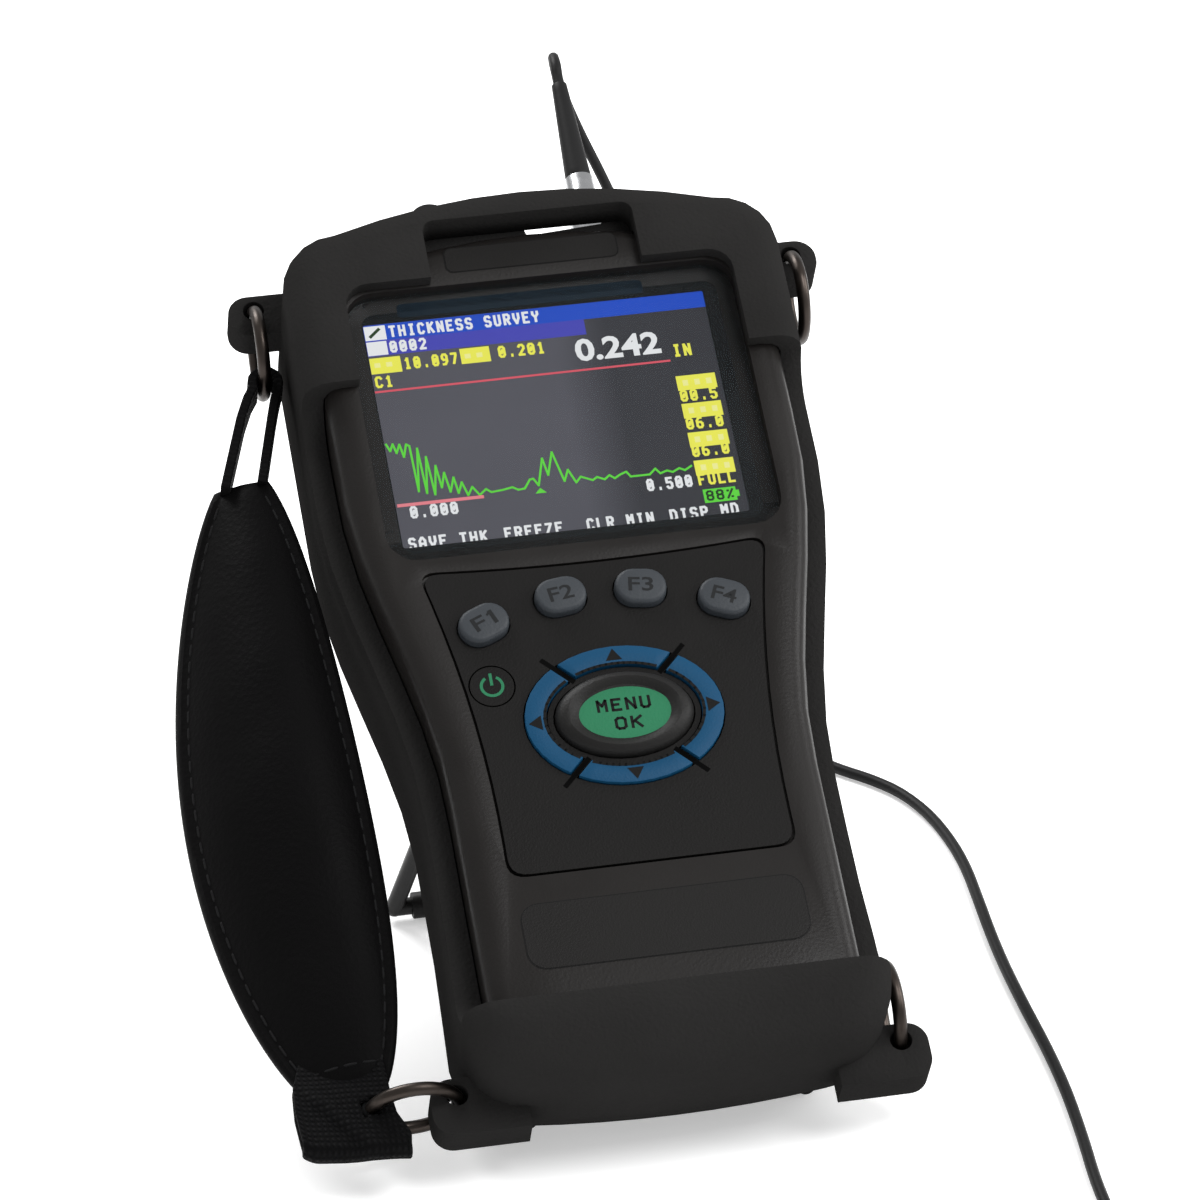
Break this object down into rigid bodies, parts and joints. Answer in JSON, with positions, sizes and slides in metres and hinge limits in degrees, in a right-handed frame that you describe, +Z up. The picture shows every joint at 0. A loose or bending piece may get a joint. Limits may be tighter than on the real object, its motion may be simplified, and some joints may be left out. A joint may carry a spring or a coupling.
{
  "type": "ultrasonic thickness gauge",
  "caption": "Handheld ultrasonic thickness gauge with colour display and keypad, in a black rubber boot with a hand strap, leaning on a wire stand, with a probe on its cable.",
  "frame": {"origin": "on the table, under the middle of the box of the gauge without its probe cable", "axes": "+X to the right of the face, +Y to the back, +Z up; the face leans back"},
  "size_m": [0.1381, 0.2648, 0.1235],
  "materials": {
    "boot_rubber": "matte black moulded rubber",
    "ring_steel": "dark bronze plated steel wire",
    "strap_pad": "black padded synthetic leather",
    "webbing": "black woven webbing",
    "stand_wire": "black coated steel wire",
    "sleeve_rubber": "black rubber tube",
    "case_plastic": "dark brown black textured plastic",
    "seal_rubber": "grey silicone",
    "screw_steel": "plain steel",
    "window": "clear lens",
    "display": "lit colour display",
    "keypad_film": "dark fine textured overlay",
    "softkey_grey": "grey silicone keys",
    "arrow_blue": "blue printed silicone",
    "menu_green": "dark key with green print",
    "power_key": "dark key with green print",
    "dome_sheet": "metal domes on film",
    "board": "green circuit board",
    "shield": "tinned steel shield",
    "cells": "wrapped cells",
    "contacts": "plated spring brass",
    "socket_metal": "nickel plated",
    "cap_rubber": "black rubber",
    "plug_metal": "bright nickel",
    "relief_rubber": "black flexible sleeve",
    "cable_jacket": "black cable jacket",
    "tie": "black hook and loop tape",
    "probe_metal": "turned stainless steel",
    "wear_face": "hard wear plate"
  },
  "bodies": {
    "gauge": {"boot": "boot_rubber", "upper_left_ring": "ring_steel", "lower_left_ring": "ring_steel", "strap_pad": "strap_pad", "strap_top_loop": "webbing", "strap_bottom_loop": "webbing", "front_case": "case_plastic", "rear_case": "case_plastic", "case_seal": "seal_rubber", "case_screws": "screw_steel", "display_window": "window", "display_module": "display", "keypad_panel": "keypad_film", "dome_sheet": "dome_sheet", "main_board": "board", "board_shield": "shield", "battery_cells": "cells", "battery_contacts": "contacts", "battery_door": "case_plastic", "left_socket": "socket_metal", "right_socket": "socket_metal", "dust_cap": "cap_rubber", "cable_plug": "plug_metal", "cable_relief": "relief_rubber", "probe_cable": "cable_jacket", "cable_coil": "cable_jacket", "coil_tie": "tie", "probe_tail": "cable_jacket", "probe_body": "probe_metal", "probe_face": "wear_face"},
    "f1_key": {"key_f1": "softkey_grey"},
    "f2_key": {"key_f2": "softkey_grey"},
    "f3_key": {"key_f3": "softkey_grey"},
    "f4_key": {"key_f4": "softkey_grey"},
    "up_key": {"key_up": "arrow_blue"},
    "down_key": {"key_down": "arrow_blue"},
    "left_key": {"key_left": "arrow_blue"},
    "right_key": {"key_right": "arrow_blue"},
    "menu_key": {"key_menu": "menu_green"},
    "power_key": {"key_power": "power_key"},
    "stand": {"tilt_stand": "stand_wire", "stand_sleeves": "sleeve_rubber"},
    "upper_ring": {"upper_right_ring": "ring_steel"},
    "lower_ring": {"lower_right_ring": "ring_steel"}
  },
  "joints": [
    {"name": "f1_press", "type": "slide", "parent": "gauge", "child": "f1_key", "axis": [0, 0.5592, -0.829], "range_m": [0, 0.0008], "stiffness_N_per_m": 1200, "springref_m": -0.0003},
    {"name": "f2_press", "type": "slide", "parent": "gauge", "child": "f2_key", "axis": [0, 0.5592, -0.829], "range_m": [0, 0.0008], "stiffness_N_per_m": 1200, "springref_m": -0.0003},
    {"name": "f3_press", "type": "slide", "parent": "gauge", "child": "f3_key", "axis": [0, 0.5592, -0.829], "range_m": [0, 0.0008], "stiffness_N_per_m": 1200, "springref_m": -0.0003},
    {"name": "f4_press", "type": "slide", "parent": "gauge", "child": "f4_key", "axis": [0, 0.5592, -0.829], "range_m": [0, 0.0008], "stiffness_N_per_m": 1200, "springref_m": -0.0003},
    {"name": "up_press", "type": "slide", "parent": "gauge", "child": "up_key", "axis": [0, 0.5592, -0.829], "range_m": [0, 0.0008], "stiffness_N_per_m": 1200, "springref_m": -0.0003},
    {"name": "down_press", "type": "slide", "parent": "gauge", "child": "down_key", "axis": [0, 0.5592, -0.829], "range_m": [0, 0.0008], "stiffness_N_per_m": 1200, "springref_m": -0.0003},
    {"name": "left_press", "type": "slide", "parent": "gauge", "child": "left_key", "axis": [0, 0.5592, -0.829], "range_m": [0, 0.0008], "stiffness_N_per_m": 1200, "springref_m": -0.0003},
    {"name": "right_press", "type": "slide", "parent": "gauge", "child": "right_key", "axis": [0, 0.5592, -0.829], "range_m": [0, 0.0008], "stiffness_N_per_m": 1200, "springref_m": -0.0003},
    {"name": "menu_press", "type": "slide", "parent": "gauge", "child": "menu_key", "axis": [0, 0.5592, -0.829], "range_m": [0, 0.0008], "stiffness_N_per_m": 1200, "springref_m": -0.0003},
    {"name": "power_press", "type": "slide", "parent": "gauge", "child": "power_key", "axis": [0, 0.5592, -0.829], "range_m": [0, 0.0008], "stiffness_N_per_m": 1200, "springref_m": -0.0003},
    {"name": "stand_fold", "type": "hinge", "parent": "gauge", "child": "stand", "pos_m": [0.0101, 0.00581, 0.03505], "axis": [1, 0, 0], "range_deg": [-76, 0]},
    {"name": "upper_ring_swing", "type": "hinge", "parent": "gauge", "child": "upper_ring", "pos_m": [0.0567, 0.05883, 0.09638], "axis": [0, 0.5592, -0.829], "range_deg": [-100, 6]},
    {"name": "lower_ring_swing", "type": "hinge", "parent": "gauge", "child": "lower_ring", "pos_m": [0.0461, -0.06507, 0.01281], "axis": [0, 0.5592, -0.829], "range_deg": [0, 100]}
  ]
}
